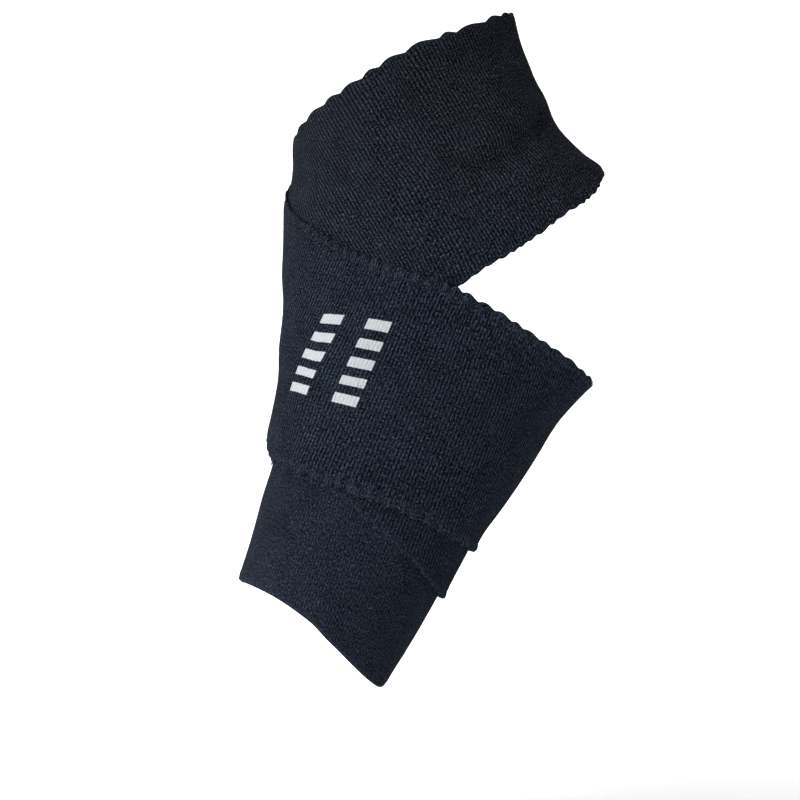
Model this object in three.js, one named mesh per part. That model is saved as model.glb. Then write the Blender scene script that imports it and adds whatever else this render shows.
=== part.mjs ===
import * as THREE from "three";

// A figure-eight ankle brace of black elastic knit, in the form it has on a foot raised on its toes.
// A foot band goes round the midfoot. One long strap starts under the sole, goes up over the outer side
// of the foot, across the front, round behind the ankle, back across the front, under the sole and up
// once more, so that it crosses itself at the front and leaves the heel bare. A tab closes its end.
// Frame: +X to the heel, -X to the toes, -Y the outer side of the foot, +Z up, origin in the ankle.

// Driving sizes, in millimetres
const braceHeight = 210;
const braceReach = 114;
const braceBreadth = 80;
const clothWall = 1.2;
const layerGap = 0.3;
const strapScallop = 1.1;
const footBandScallop = 0.35;
const tabWall = 1.6;
const tabLength = 26;
const tabBreadth = 38;

// How round the oval sections are: 2 is an ellipse, more is squarer
const ovalExponent = 2.2;

// Mesh steps: one column for each scallop, in degrees round the foot, and facets along each scallop
const scallopTurn = 9;
const facetsPerScallop = 3;
const strapRows = 10;
const footBandRows = 8;
const tabRows = 4;

// The leg and foot inside, as oval sections from the toe end up to the shin. Columns: place along the
// form; front point and back point as shares of the reach and the height; half breadth as a share of
// the breadth.
const sections = [
  [-0.100, -0.555, -0.608, -0.302, -0.781, 0.494],
  [0.000, -0.533, -0.540, -0.171, -0.676, 0.481],
  [0.120, -0.481, -0.447, -0.060, -0.583, 0.456],
  [0.260, -0.435, -0.340, 0.065, -0.466, 0.425],
  [0.400, -0.394, -0.229, 0.234, -0.329, 0.406],
  [0.470, -0.389, -0.177, 0.296, -0.278, 0.403],
  [0.540, -0.386, -0.125, 0.402, -0.224, 0.400],
  [0.660, -0.381, -0.040, 0.609, -0.069, 0.400],
  [0.780, -0.378, 0.037, 0.435, 0.072, 0.400],
  [0.840, -0.375, 0.061, 0.318, 0.134, 0.388],
  [0.890, -0.378, 0.084, 0.264, 0.187, 0.375],
  [0.945, -0.381, 0.106, 0.207, 0.254, 0.362],
  [1.000, -0.381, 0.130, 0.182, 0.310, 0.356],
  [1.100, -0.375, 0.170, 0.136, 0.413, 0.356],
];

// The strap's edges on that form. Columns: degrees wound from the sole, passing the outer side first;
// lower edge and upper edge as places along the form. 180 is the front and 360 the back of the ankle.
const strapEdges = [
  [-27, 0.162, 0.515],
  [23, 0.170, 0.522],
  [44, 0.178, 0.535],
  [60, 0.192, 0.550],
  [90, 0.220, 0.588],
  [112, 0.241, 0.622],
  [142, 0.245, 0.672],
  [180, 0.252, 0.755],
  [210, 0.345, 0.868],
  [240, 0.510, 0.950],
  [262, 0.632, 0.975],
  [282, 0.712, 0.978],
  [300, 0.748, 0.980],
  [330, 0.770, 0.988],
  [360, 0.778, 0.998],
  [390, 0.768, 1.000],
  [420, 0.745, 1.010],
  [440, 0.706, 1.026],
  [452, 0.666, 1.038],
  [460, 0.622, 1.044],
  [473, 0.560, 1.050],
  [510, 0.430, 1.048],
  [540, 0.355, 0.994],
  [570, 0.300, 0.872],
  [600, 0.268, 0.725],
  [620, 0.262, 0.630],
  [640, 0.262, 0.590],
  [670, 0.258, 0.556],
  [700, 0.252, 0.538],
  [744, 0.251, 0.536],
  [764, 0.256, 0.552],
  [783, 0.260, 0.566],
  [798, 0.262, 0.582],
  [810, 0.262, 0.600],
  [820, 0.258, 0.618],
  [840, 0.254, 0.642],
  [858, 0.254, 0.672],
  [871, 0.256, 0.706],
  [900, 0.262, 0.768],
  [930, 0.352, 0.878],
  [960, 0.515, 0.958],
  [981, 0.634, 0.985],
  [1001, 0.716, 0.988],
  [1020, 0.750, 0.990],
  [1044, 0.768, 0.992],
];

// The foot band's edges, once round from the sole. Columns: degrees; lower edge and upper edge.
const footBandEdges = [
  [0, 0.000, 0.420],
  [56, -0.002, 0.420],
  [74, 0.008, 0.420],
  [92, 0.020, 0.420],
  [106, 0.030, 0.420],
  [134, 0.030, 0.420],
  [169, 0.018, 0.420],
  [180, 0.010, 0.420],
  [225, 0.000, 0.420],
  [270, 0.006, 0.420],
  [315, 0.004, 0.420],
  [360, 0.000, 0.420],
];

// Folds behind the ankle, where the knit buckles. Columns: degrees round and place along at one end;
// the same at the other end; height in shares of the wall, below zero for a crease; half width in walls.
const ankleFolds = [
  [382, 0.886, 402, 0.868, 1.1, 5.0],
  [395, 0.858, 443, 0.806, -1.4, 4.0],
  [397, 0.954, 434, 0.952, -0.7, 5.0],
];

// The tab's middle on the strap's end: degrees wound, and place along the form
const tabTurn = 1045;
const tabAlong = 0.870;

// How far past an edge a layer above it stays lifted, and over how much it then comes down, along the
// form and in degrees of winding
const liftMargin = 0.012;
const liftFall = 0.13;
const endMargin = 4;
const endFall = 12;

const fullTurn = 360;
const layerPitch = clothWall + layerGap;
const strapStart = strapEdges[0][0];
const strapEnd = strapEdges[strapEdges.length - 1][0];
const footBandTop = footBandEdges[0][2];

const knit = new THREE.MeshStandardMaterial({ color: 0x262b36, roughness: 0.95, metalness: 0 });
const footKnit = new THREE.MeshStandardMaterial({ color: 0x252a35, roughness: 0.95, metalness: 0 });
const hookTape = new THREE.MeshStandardMaterial({ color: 0x1b1d22, roughness: 0.8, metalness: 0 });

// A smooth line through a table's rows: the value of one column where the first column is at
function tableValue(table, column, at) {
  const last = table.length - 1;
  let row = 0;
  while (row < last - 1 && table[row + 1][0] <= at) {
    row += 1;
  }
  const slope = (index) => {
    const before = table[Math.max(index - 1, 0)];
    const after = table[Math.min(index + 1, last)];
    return (after[column] - before[column]) / (after[0] - before[0]);
  };
  const [start, end] = [table[row], table[row + 1]];
  const step = end[0] - start[0];
  const share = (at - start[0]) / step;
  const square = share * share;
  const cube = square * share;
  return (2 * cube - 3 * square + 1) * start[column]
    + (cube - 2 * square + share) * step * slope(row)
    + (3 * square - 2 * cube) * end[column]
    + (cube - square) * step * slope(row + 1);
}

// A point of the bare form: degrees round from the sole, with the outer side at 90, and place along
function formPoint(turn, along) {
  const angle = THREE.MathUtils.degToRad(180 - turn);
  const bend = (value) => Math.sign(value) * Math.abs(value) ** (2 / ovalExponent);
  const depth = bend(Math.cos(angle));
  const side = bend(Math.sin(angle));
  const value = (column) => tableValue(sections, column, along);
  const [frontX, backX] = [value(1) * braceReach, value(3) * braceReach];
  const [frontZ, backZ] = [value(2) * braceHeight, value(4) * braceHeight];
  return new THREE.Vector3(
    (frontX + backX) / 2 + (frontX - backX) / 2 * depth,
    -value(5) * braceBreadth * side,
    (frontZ + backZ) / 2 + (frontZ - backZ) / 2 * depth,
  );
}

// The form's outward normal, and its lengths in millimetres for a degree and for a unit along
function formFrame(turn, along) {
  const turnStep = 0.1;
  const alongStep = 0.001;
  const across = formPoint(turn + turnStep, along).sub(formPoint(turn - turnStep, along));
  const up = formPoint(turn, along + alongStep).sub(formPoint(turn, along - alongStep));
  return {
    normal: up.clone().cross(across).normalize(),
    perDegree: across.length() / (2 * turnStep),
    perAlong: up.length() / (2 * alongStep),
  };
}

const rampUp = (value) => THREE.MathUtils.smoothstep(value, 0, 1);

// How much of the strap's length at this winding lies under a point: 1 on it, falling to 0 beside it
function strapCover(wound, along) {
  const inside = THREE.MathUtils.clamp(wound, strapStart, strapEnd);
  const lower = tableValue(strapEdges, 1, inside) - liftMargin;
  const upper = tableValue(strapEdges, 2, inside) + liftMargin;
  return rampUp((along - lower) / liftFall + 1)
    * rampUp((upper - along) / liftFall + 1)
    * rampUp((wound - strapStart + endMargin) / endFall + 1)
    * rampUp((strapEnd + endMargin - wound) / endFall + 1);
}

// The height above the form of a layer that lies on the foot band and on every earlier turn of strap
function layerHeight(wound, along) {
  let layers = rampUp((footBandTop + liftMargin - along) / liftFall + 1);
  for (let under = wound - fullTurn; under > strapStart - endMargin - endFall; under -= fullTurn) {
    layers += strapCover(under, along);
  }
  return layers * layerPitch;
}

// The rise or dent that the folds give at a point
function foldHeight(wound, along) {
  const { perDegree, perAlong } = formFrame(wound, along);
  const flat = (turn, place) => new THREE.Vector2(turn * perDegree, place * perAlong);
  const here = flat(wound, along);
  let height = 0;
  for (const [turnA, alongA, turnB, alongB, rise, halfWidth] of ankleFolds) {
    const start = flat(turnA, alongA);
    const line = flat(turnB, alongB).sub(start);
    const share = THREE.MathUtils.clamp(here.clone().sub(start).dot(line) / line.lengthSq(), 0, 1);
    const distance = here.distanceTo(start.addScaledVector(line, share));
    height += rise * clothWall * Math.exp(-((distance / (halfWidth * clothWall)) ** 2));
  }
  return height;
}

// One closed slab of cloth. place(column, across, outside) gives its points: column counts scallops,
// across goes from 0 at the lower edge to 1 at the upper one, and outside tells its two faces apart.
function clothSlab(columns, rows, closed, place) {
  const positions = [];
  const index = [];
  const known = new Map();
  const fineColumns = columns * facetsPerScallop;
  const vertex = (outside, row, fine) => {
    const wrapped = closed ? fine % fineColumns : fine;
    const key = `${outside},${row},${wrapped}`;
    if (!known.has(key)) {
      known.set(key, positions.length / 3);
      positions.push(...place(wrapped / facetsPerScallop, row / rows, outside).toArray());
    }
    return known.get(key);
  };
  const triangle = (outside, a, b, c) => {
    const corners = [a, b, c].map(([row, fine]) => vertex(outside, row, fine));
    index.push(...(outside ? corners.reverse() : corners));
  };
  const quad = (a, b, c, d) => {
    index.push(a, b, c, a, c, d);
  };
  for (let column = 0; column < columns; column += 1) {
    const first = column * facetsPerScallop;
    const last = first + facetsPerScallop;
    for (const outside of [false, true]) {
      for (let row = 1; row < rows - 1; row += 1) {
        triangle(outside, [row, first], [row, last], [row + 1, last]);
        triangle(outside, [row, first], [row + 1, last], [row + 1, first]);
      }
      triangle(outside, [1, last], [1, first], [0, first + 1]);
      triangle(outside, [rows - 1, first], [rows - 1, last], [rows, first + 1]);
      for (let facet = first; facet < last; facet += 1) {
        const near = facet === first ? first : last;
        triangle(outside, [0, facet], [0, facet + 1], [1, near]);
        triangle(outside, [rows, facet + 1], [rows, facet], [rows - 1, near]);
      }
    }
    for (let facet = first; facet < last; facet += 1) {
      quad(vertex(false, 0, facet), vertex(true, 0, facet),
        vertex(true, 0, facet + 1), vertex(false, 0, facet + 1));
      quad(vertex(false, rows, facet), vertex(false, rows, facet + 1),
        vertex(true, rows, facet + 1), vertex(true, rows, facet));
    }
  }
  for (let row = 0; row < rows && !closed; row += 1) {
    quad(vertex(false, row, 0), vertex(false, row + 1, 0), vertex(true, row + 1, 0), vertex(true, row, 0));
    quad(vertex(false, row, fineColumns), vertex(true, row, fineColumns),
      vertex(true, row + 1, fineColumns), vertex(false, row + 1, fineColumns));
  }
  const geometry = new THREE.BufferGeometry();
  geometry.setAttribute("position", new THREE.Float32BufferAttribute(positions, 3));
  geometry.setIndex(index);
  geometry.computeVertexNormals();
  return geometry;
}

// The outward reach of a scalloped edge at a column, as a share of the scallop's depth
const scallop = (column) => Math.abs(Math.sin(Math.PI * column));

// A place between two edges, moved outward at each edge by the scallops
function scallopedPlace(wound, lower, upper, across, column, depth) {
  const edge = across === 0 ? lower : upper;
  const { perAlong } = formFrame(wound, edge);
  const reach = scallop(column) * depth / perAlong;
  const outward = { 0: -reach, 1: reach }[across] ?? 0;
  return THREE.MathUtils.lerp(lower, upper, across) + outward;
}

function liftedPoint(wound, along, height) {
  const { normal } = formFrame(wound, along);
  return formPoint(wound, along).addScaledVector(normal, height);
}

function buildStrap() {
  const columns = Math.round((strapEnd - strapStart) / scallopTurn);
  const geometry = clothSlab(columns, strapRows, false, (column, across, outside) => {
    const wound = strapStart + column * scallopTurn;
    const lower = tableValue(strapEdges, 1, wound);
    const upper = tableValue(strapEdges, 2, wound);
    const along = scallopedPlace(wound, lower, upper, across, column, strapScallop);
    const height = layerHeight(wound, along) + foldHeight(wound, along);
    return liftedPoint(wound, along, height + (outside ? clothWall : 0));
  });
  return named("strap", geometry, knit);
}

function buildFootBand() {
  const columns = fullTurn / scallopTurn;
  const geometry = clothSlab(columns, footBandRows, true, (column, across, outside) => {
    const turn = column * scallopTurn;
    const lower = tableValue(footBandEdges, 1, turn);
    const upper = tableValue(footBandEdges, 2, turn);
    const along = scallopedPlace(turn, lower, upper, across, column, footBandScallop);
    return liftedPoint(turn, along, outside ? clothWall : 0);
  });
  return named("foot_band", geometry, footKnit);
}

// The tab lies on the strap's end and reaches past it onto the turn of strap underneath
function buildTab() {
  const { perDegree, perAlong } = formFrame(tabTurn, tabAlong);
  const columns = Math.round(tabLength / perDegree / scallopTurn);
  const geometry = clothSlab(columns, tabRows, false, (column, across, outside) => {
    const wound = tabTurn + (column / columns - 0.5) * tabLength / perDegree;
    const along = tabAlong + (across - 0.5) * tabBreadth / perAlong;
    const height = layerHeight(wound + fullTurn, along);
    return liftedPoint(wound, along, height + (outside ? tabWall : 0));
  });
  return named("closure_tab", geometry, hookTape);
}

function named(name, geometry, material) {
  const mesh = new THREE.Mesh(geometry, material);
  mesh.name = name;
  return mesh;
}

const group = new THREE.Group();
group.add(buildFootBand(), buildStrap(), buildTab());

export default group;
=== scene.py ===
import math
import bpy
import numpy as np
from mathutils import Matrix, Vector


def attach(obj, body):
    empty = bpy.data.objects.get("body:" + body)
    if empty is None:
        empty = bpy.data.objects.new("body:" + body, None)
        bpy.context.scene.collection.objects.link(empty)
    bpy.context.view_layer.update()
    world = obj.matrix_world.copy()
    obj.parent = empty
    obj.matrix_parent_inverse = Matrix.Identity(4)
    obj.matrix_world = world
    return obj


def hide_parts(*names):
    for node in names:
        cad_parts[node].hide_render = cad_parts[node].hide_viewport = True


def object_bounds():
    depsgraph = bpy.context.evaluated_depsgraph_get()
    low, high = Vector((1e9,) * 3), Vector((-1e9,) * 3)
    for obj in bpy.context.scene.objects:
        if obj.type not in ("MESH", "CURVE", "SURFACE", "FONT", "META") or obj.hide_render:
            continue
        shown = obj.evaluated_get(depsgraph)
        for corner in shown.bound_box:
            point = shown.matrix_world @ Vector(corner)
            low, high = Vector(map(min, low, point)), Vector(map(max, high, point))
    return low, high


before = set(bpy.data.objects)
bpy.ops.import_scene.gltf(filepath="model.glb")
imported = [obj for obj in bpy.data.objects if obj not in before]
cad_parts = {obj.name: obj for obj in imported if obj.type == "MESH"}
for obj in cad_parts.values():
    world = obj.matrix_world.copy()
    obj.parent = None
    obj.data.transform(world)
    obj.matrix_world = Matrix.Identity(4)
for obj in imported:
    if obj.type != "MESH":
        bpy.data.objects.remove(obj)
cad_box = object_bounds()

# A figure-eight ankle brace of black elastic knit, in its worn form. The ribbed cloth of the strap
# and the foot band, their overlocked hems, the loose fibres and the hook tab are made here.
# Metres, +X to the back, -Y the outer side, +Z up.

MM = 0.001

# Driving sizes, as in the solids
BRACE_HEIGHT = 210 * MM
BRACE_REACH = 114 * MM
BRACE_BREADTH = 80 * MM
STRAP_BREADTH = 70 * MM
CLOTH_WALL = 1.2 * MM
LAYER_GAP = 0.3 * MM
LAYER_PITCH = CLOTH_WALL + LAYER_GAP
TAB_WALL = 1.6 * MM
TAB_LENGTH = 26 * MM
TAB_BREADTH = 38 * MM
OVAL_EXPONENT = 2.2
FULL_TURN = 360

# The knit
STRAP_RIB_PITCH = 1.13 * MM
BAND_RIB_PITCH = 1.04 * MM
STRAP_RIB_HEIGHT = 0.15 * MM
BAND_RIB_HEIGHT = 0.10 * MM
COLUMNS_PER_RIB = 3
ROWS_BETWEEN_HEMS = 20
RIB_STEPS = 12
RIB_EVENING = 36
LOOP_PITCH = 0.95 * MM
RULER_STEPS = 4001
STRAP_CLARITY = 0.66
BAND_CLARITY = 0.34

# How far a rib's place must face the outer side before it starts to run the way it is seen there,
# over what more facing that takes hold, and the least facing that a seen way is worked out for
SEEN_FROM = 0.25
SEEN_OVER = 0.35
LEAST_FACING = 0.2

# The hems: how their scallops vary and fade inwards, how they roll, and their stitches
HEM_WIDTH = 3.4 * MM
HEM_ROWS = (0, 0.2, 0.5, 0.9, 1.5, 2.1, 2.7, 3.3, 4.0, 5.0)
SCALLOP_UNEVENNESS = 0.36
SCALLOP_SKEW = 1.5
SCALLOP_FADE = 4.2 * MM
REACH_FADE = 14 * MM
ROLL_WIDTH = 1.7 * MM
SEAM_WIDTH = 0.6 * MM
EDGE_ROUNDING = 0.9 * MM
STITCH_SPACING = 1.15 * MM
STITCH_RISE = 0.35 * MM
THREAD_RADIUS = 0.14 * MM

# Loose fibres on the outer face
FIBRES_PER_SQUARE_METRE = 50000.0
FIBRE_LENGTH = 0.9 * MM
FIBRE_RADIUS = 0.02 * MM

# Slow waves in the cloth: how far they lift it and push its ribs sideways, and the hems' puckers.
# They die away over the cloth's last part at each end.
WAVE_HEIGHT = 0.22 * MM
WAVE_LENGTH = 34 * MM
RIB_WANDER = 0.12 * MM
WANDER_LENGTH = 60 * MM
CRUMPLE_HEIGHT = 0.42 * MM
CRUMPLE_LENGTH = 6.0 * MM
STILL_END = 20 * MM
WAVES_IN_SUM = 7
WAVE_SUM_SPREAD = 3.2

# The tab: its middle on the strap's end, its corners, its seam and its twill
TAB_TURN = 1045
TAB_ALONG = 0.870
TAB_CORNER = 4 * MM
TAB_EDGE_ROUNDING = 0.7 * MM
TAB_SEAM_INSET = 2.6 * MM
TAB_SEAM_DEPTH = 0.3 * MM
TAB_SEAM_WIDTH = 0.45 * MM
TAB_SEAM_CORNER = 2 * MM
TAB_STITCH_SPACING = 2.4 * MM
TAB_STITCH_SHARE = 0.78
TAB_STITCH_HEIGHT = 0.20 * MM
TAB_THREAD_RADIUS = THREAD_RADIUS * 1.6
TWILL_PITCH = 0.9 * MM
TWILL_HEIGHT = 0.08 * MM
TAB_COLUMNS = 78
TAB_ROWS = 114

# How far past its edges and ends a layer lifts the next one, and how slowly that falls
LIFT_MARGIN = 0.012
LIFT_FALL = 0.13
END_MARGIN = 4
END_FALL = 12

# Colours. The groove colour is painted shade between the ribs; the crest colours are the yarn's own, made
# paler by a painted sheen on its fuzz.
GROOVE_SHADE = (0.0014, 0.0020, 0.0030, 1)
CREST = (0.0335, 0.0445, 0.0690, 1)
FADED_CREST = (0.0330, 0.0385, 0.0535, 1)
HEM_COLOR = (0.010, 0.013, 0.020, 1)
FLECK = (0.11, 0.125, 0.16, 1)
PRINT_COLOR = (0.50, 0.52, 0.55, 1)
DARK_THREAD, PALE_THREAD = (0.007, 0.009, 0.015, 1), (0.048, 0.060, 0.092, 1)
DARK_FIBRE, PALE_FIBRE = (0.015, 0.018, 0.026, 1), (0.14, 0.16, 0.21, 1)
DARK_TAPE, PALE_TAPE = (0.0012, 0.0015, 0.0022, 1), (0.013, 0.015, 0.021, 1)
FLOOR_COLOR = (0.93, 0.93, 0.93, 1)

# Heights between which the knit fades upwards, and down to which its contrast calms
FADE_START = -30 * MM
FADE_END = 20 * MM
CALM_END = -70 * MM
CALM_CONTRAST = 0.72

# The stage and the camera
FLOOR_DROP = 60 * MM
FLOOR_REACH = 40.0
WALL_DISTANCE = 2.4
WALL_RADIUS = 0.9
WALL_TOP = 3.0
VIEW_AZIMUTH = math.radians(-8)
VIEW_ELEVATION = math.radians(3)
VIEW_DISTANCE = 850 * MM
VIEW_WIDTH = 248 * MM
VIEW_TARGET = Vector((-12.4 * MM, 0, -54.25 * MM))
SENSOR_WIDTH = 36

# The form inside, as oval sections from its lower end up. Columns: place along the form; front
# point and back point as shares of the reach and the height; half breadth as a share of the breadth.
SECTIONS = np.array([
    [-0.100, -0.555, -0.608, -0.302, -0.781, 0.494],
    [0.000, -0.533, -0.540, -0.171, -0.676, 0.481],
    [0.120, -0.481, -0.447, -0.060, -0.583, 0.456],
    [0.260, -0.435, -0.340, 0.065, -0.466, 0.425],
    [0.400, -0.394, -0.229, 0.234, -0.329, 0.406],
    [0.470, -0.389, -0.177, 0.296, -0.278, 0.403],
    [0.540, -0.386, -0.125, 0.402, -0.224, 0.400],
    [0.660, -0.381, -0.040, 0.609, -0.069, 0.400],
    [0.780, -0.378, 0.037, 0.435, 0.072, 0.400],
    [0.840, -0.375, 0.061, 0.318, 0.134, 0.388],
    [0.890, -0.378, 0.084, 0.264, 0.187, 0.375],
    [0.945, -0.381, 0.106, 0.207, 0.254, 0.362],
    [1.000, -0.381, 0.130, 0.182, 0.310, 0.356],
    [1.100, -0.375, 0.170, 0.136, 0.413, 0.356],
])

# The strap's edges on that form. Columns: degrees wound from underneath, passing the outer side
# first; lower edge and upper edge as places along the form.
STRAP_EDGES = np.array([
    [-27, 0.162, 0.515],
    [23, 0.170, 0.522],
    [44, 0.178, 0.535],
    [60, 0.192, 0.550],
    [90, 0.220, 0.588],
    [112, 0.241, 0.622],
    [142, 0.245, 0.672],
    [180, 0.252, 0.755],
    [210, 0.345, 0.868],
    [240, 0.510, 0.950],
    [262, 0.632, 0.975],
    [282, 0.712, 0.978],
    [300, 0.748, 0.980],
    [330, 0.770, 0.988],
    [360, 0.778, 0.998],
    [390, 0.768, 1.000],
    [420, 0.745, 1.010],
    [440, 0.706, 1.026],
    [452, 0.666, 1.038],
    [460, 0.622, 1.044],
    [473, 0.560, 1.050],
    [510, 0.430, 1.048],
    [540, 0.355, 0.994],
    [570, 0.300, 0.872],
    [600, 0.268, 0.725],
    [620, 0.262, 0.630],
    [640, 0.262, 0.590],
    [670, 0.258, 0.556],
    [700, 0.252, 0.538],
    [744, 0.251, 0.536],
    [764, 0.256, 0.552],
    [783, 0.260, 0.566],
    [798, 0.262, 0.582],
    [810, 0.262, 0.600],
    [820, 0.258, 0.618],
    [840, 0.254, 0.642],
    [858, 0.254, 0.672],
    [871, 0.256, 0.706],
    [900, 0.262, 0.768],
    [930, 0.352, 0.878],
    [960, 0.515, 0.958],
    [981, 0.634, 0.985],
    [1001, 0.716, 0.988],
    [1020, 0.750, 0.990],
    [1044, 0.768, 0.992],
])
STRAP_START = STRAP_EDGES[0, 0]
STRAP_END = STRAP_EDGES[-1, 0]

# The foot band's edges, once round. Columns: degrees from underneath; lower edge. The upper edge
# runs level.
BAND_TOP = 0.420
BAND_LOWER_EDGE = [
    (0, 0.010), (8, 0.010), (20, 0.003), (34, 0.000), (56, 0.003), (74, 0.010), (92, 0.021),
    (106, 0.031), (134, 0.034), (169, 0.023), (180, 0.018), (225, 0.014), (270, 0.014),
    (315, 0.006), (340, 0.003), (360, 0.010),
]
BAND_EDGES = np.array([[turn, lower, BAND_TOP] for turn, lower in BAND_LOWER_EDGE])

# Folds across the strap. Columns: degrees wound and place along at one end; the same at the other end;
# height and half width in shares of the wall, height below zero for a crease.
FOLDS = np.array([
    [382, 0.886, 402, 0.868, 1.1, 5.0],
    [395, 0.858, 443, 0.806, -2.3, 2.6],
    [397, 0.886, 440, 0.838, 0.5, 3.0],
    [397, 0.954, 434, 0.952, -0.7, 5.0],
    [372, 0.786, 382, 0.780, 0.8, 2.8],
    [374, 0.930, 382, 0.985, 0.6, 5.0],
    [896, 0.270, 910, 0.380, -0.6, 8.0],
    [904, 0.620, 908, 0.770, 0.8, 7.0],
    [545, 0.930, 548, 0.765, 0.7, 6.0],
    [-6, 0.190, 12, 0.265, -0.7, 7.0],
    [728, 0.270, 742, 0.290, -0.6, 6.0],
])

# How each hem is drawn up, all in mm. Columns: degrees wound; scallop spacing and depth; how much a
# scallop puffs; how thick the hem rolls; the width that is left without ribs; and how far the edge
# reaches past the solid's.
SPACING, DEPTH, PUFF, ROLL, WIDTH, REACH = range(1, 7)
STRAP_LOWER_HEM = np.array([
    [-27, 5.5, 0.3, 0.30, 0.40, 3.0, 0.0],
    [4, 5.5, 0.3, 0.30, 0.35, 3.0, 0.0],
    [26, 5.5, 0.3, 0.20, 0.45, 2.4, 0.0],
    [90, 5.5, 0.4, 0.30, 0.40, 2.6, 0.0],
    [130, 5.5, 0.5, 0.40, 0.15, 3.0, 0.0],
    [200, 5.5, 0.6, 0.30, 0.20, 3.0, 0.0],
    [350, 4.4, 0.5, 0.20, 0.10, 1.4, 0.3],
    [374, 4.2, 0.4, 0.15, 0.10, 1.4, -0.9],
    [386, 4.2, 0.6, 0.15, 0.10, 1.4, -0.5],
    [397, 4.2, 0.6, 0.15, 0.10, 1.4, 1.2],
    [412, 4.2, 0.6, 0.15, 0.10, 1.4, 2.6],
    [436, 4.2, 0.6, 0.15, 0.10, 1.4, 2.4],
    [462, 4.2, 0.6, 0.15, 0.10, 1.4, 1.6],
    [490, 4.2, 0.6, 0.15, 0.10, 1.4, 0.4],
    [560, 5.5, 0.6, 0.30, 0.20, 3.0, 0.0],
    [700, 5.8, 0.4, 0.30, 0.40, 3.4, 0.0],
    [738, 6.0, 0.3, 0.30, 0.30, 3.4, -0.6],
    [764, 5.4, 0.6, 0.80, 0.20, 3.6, 0.0],
    [790, 5.2, 0.8, 1.00, 0.15, 4.0, 0.0],
    [850, 5.0, 0.6, 0.80, 0.10, 3.6, 0.0],
    [875, 5.4, 0.4, 0.20, 0.00, 1.8, 0.0],
    [940, 4.6, 0.5, 0.20, 0.10, 1.6, 0.0],
    [1044, 4.6, 0.5, 0.20, 0.10, 1.6, 0.0],
])
STRAP_UPPER_HEM = np.array([
    [-27, 6.0, 0.6, 0.30, 0.20, 3.0, 0.0],
    [330, 6.0, 0.6, 0.30, 0.20, 2.4, 0.0],
    [362, 8.4, 0.5, 0.15, 0.00, 1.0, 0.0],
    [378, 8.4, 0.5, 0.15, 0.00, 1.0, 0.0],
    [394, 8.4, 1.0, 0.15, 0.00, 1.0, 0.9],
    [450, 8.4, 1.1, 0.15, 0.00, 1.0, 0.9],
    [490, 8.4, 1.0, 0.15, 0.00, 1.0, 0.3],
    [540, 8.4, 1.0, 0.15, 0.00, 1.0, 0.0],
    [620, 6.0, 0.8, 0.35, 0.20, 3.2, 0.0],
    [725, 6.8, 0.5, 0.20, 0.15, 3.0, 0.8],
    [746, 6.8, 0.5, 0.20, 0.15, 3.0, 2.0],
    [762, 6.8, 0.5, 0.20, 0.15, 3.0, 0.3],
    [795, 6.0, 0.6, 0.35, 0.15, 3.2, 0.3],
    [816, 3.8, 0.9, 1.40, 0.10, 4.0, 0.0],
    [868, 3.6, 0.9, 1.20, 0.00, 3.8, 0.0],
    [890, 4.4, 0.4, 0.20, -0.80, 2.4, 0.0],
    [912, 5.0, 0.4, 0.20, -0.60, 2.0, 0.0],
    [940, 6.5, 0.9, 0.30, 0.10, 2.0, 0.0],
    [1020, 7.5, 1.0, 0.25, 0.00, 1.0, 0.0],
    [1044, 7.5, 0.3, 0.15, 0.00, 1.0, 0.0],
])
BAND_HEM = np.array([
    [0, 6.0, 0.0, 0.05, 0.15, 1.2, 0.0],
    [360, 6.0, 0.0, 0.05, 0.15, 1.2, 0.0],
])

# The way the strap's ribs run where they are seen from the outer side. Columns: degrees wound;
# degrees up from the line to the back. Elsewhere they run square across the cloth.
STRAP_RIB_WAY = np.array([
    [-27, 67],
    [180, 67],
    [300, 112],
    [380, 117],
    [420, 118],
    [470, 120],
    [520, 118],
    [640, 90],
    [700, 68],
    [800, 67],
    [850, 69],
    [900, 72],
    [1000, 110],
    [1044, 117],
])

# The print: plain pale bars in two columns, as fitting marks.
MARK_TURNS = (864, 842)
MARK_SHARES = (0.63, 0.55, 0.47, 0.39, 0.31)
MARK_SIZE = (7.4 * MM, 2.8 * MM)


def table_value(table, column, at):
    """A smooth line through a table's rows: one column's value where the first column is at."""
    x, y = table[:, 0], table[:, column]
    before = np.maximum(np.arange(len(x)) - 1, 0)
    after = np.minimum(np.arange(len(x)) + 1, len(x) - 1)
    slope = (y[after] - y[before]) / (x[after] - x[before])
    row = np.clip(np.searchsorted(x, at, side="right") - 1, 0, len(x) - 2)
    step = x[row + 1] - x[row]
    share = (at - x[row]) / step
    square, cube = share ** 2, share ** 3
    return (
        (2 * cube - 3 * square + 1) * y[row]
        + (cube - 2 * square + share) * step * slope[row]
        + (3 * square - 2 * cube) * y[row + 1]
        + (cube - square) * step * slope[row + 1]
    )


def bend(value):
    return np.sign(value) * np.abs(value) ** (2 / OVAL_EXPONENT)


def form_point(turn, along):
    """Points of the bare form: degrees round from underneath, the outer side at 90, and place along."""
    turn, along = np.broadcast_arrays(np.asarray(turn, float), np.asarray(along, float))
    angle = np.radians(180 - turn)
    depth, side = bend(np.cos(angle)), bend(np.sin(angle))
    front_x, back_x = (table_value(SECTIONS, c, along) * BRACE_REACH for c in (1, 3))
    front_z, back_z = (table_value(SECTIONS, c, along) * BRACE_HEIGHT for c in (2, 4))
    half = table_value(SECTIONS, 5, along) * BRACE_BREADTH
    return np.stack([
        (front_x + back_x) / 2 + (front_x - back_x) / 2 * depth,
        -half * side,
        (front_z + back_z) / 2 + (front_z - back_z) / 2 * depth,
    ], -1)


def unit(vectors):
    return vectors / np.linalg.norm(vectors, axis=-1, keepdims=True)


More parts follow.
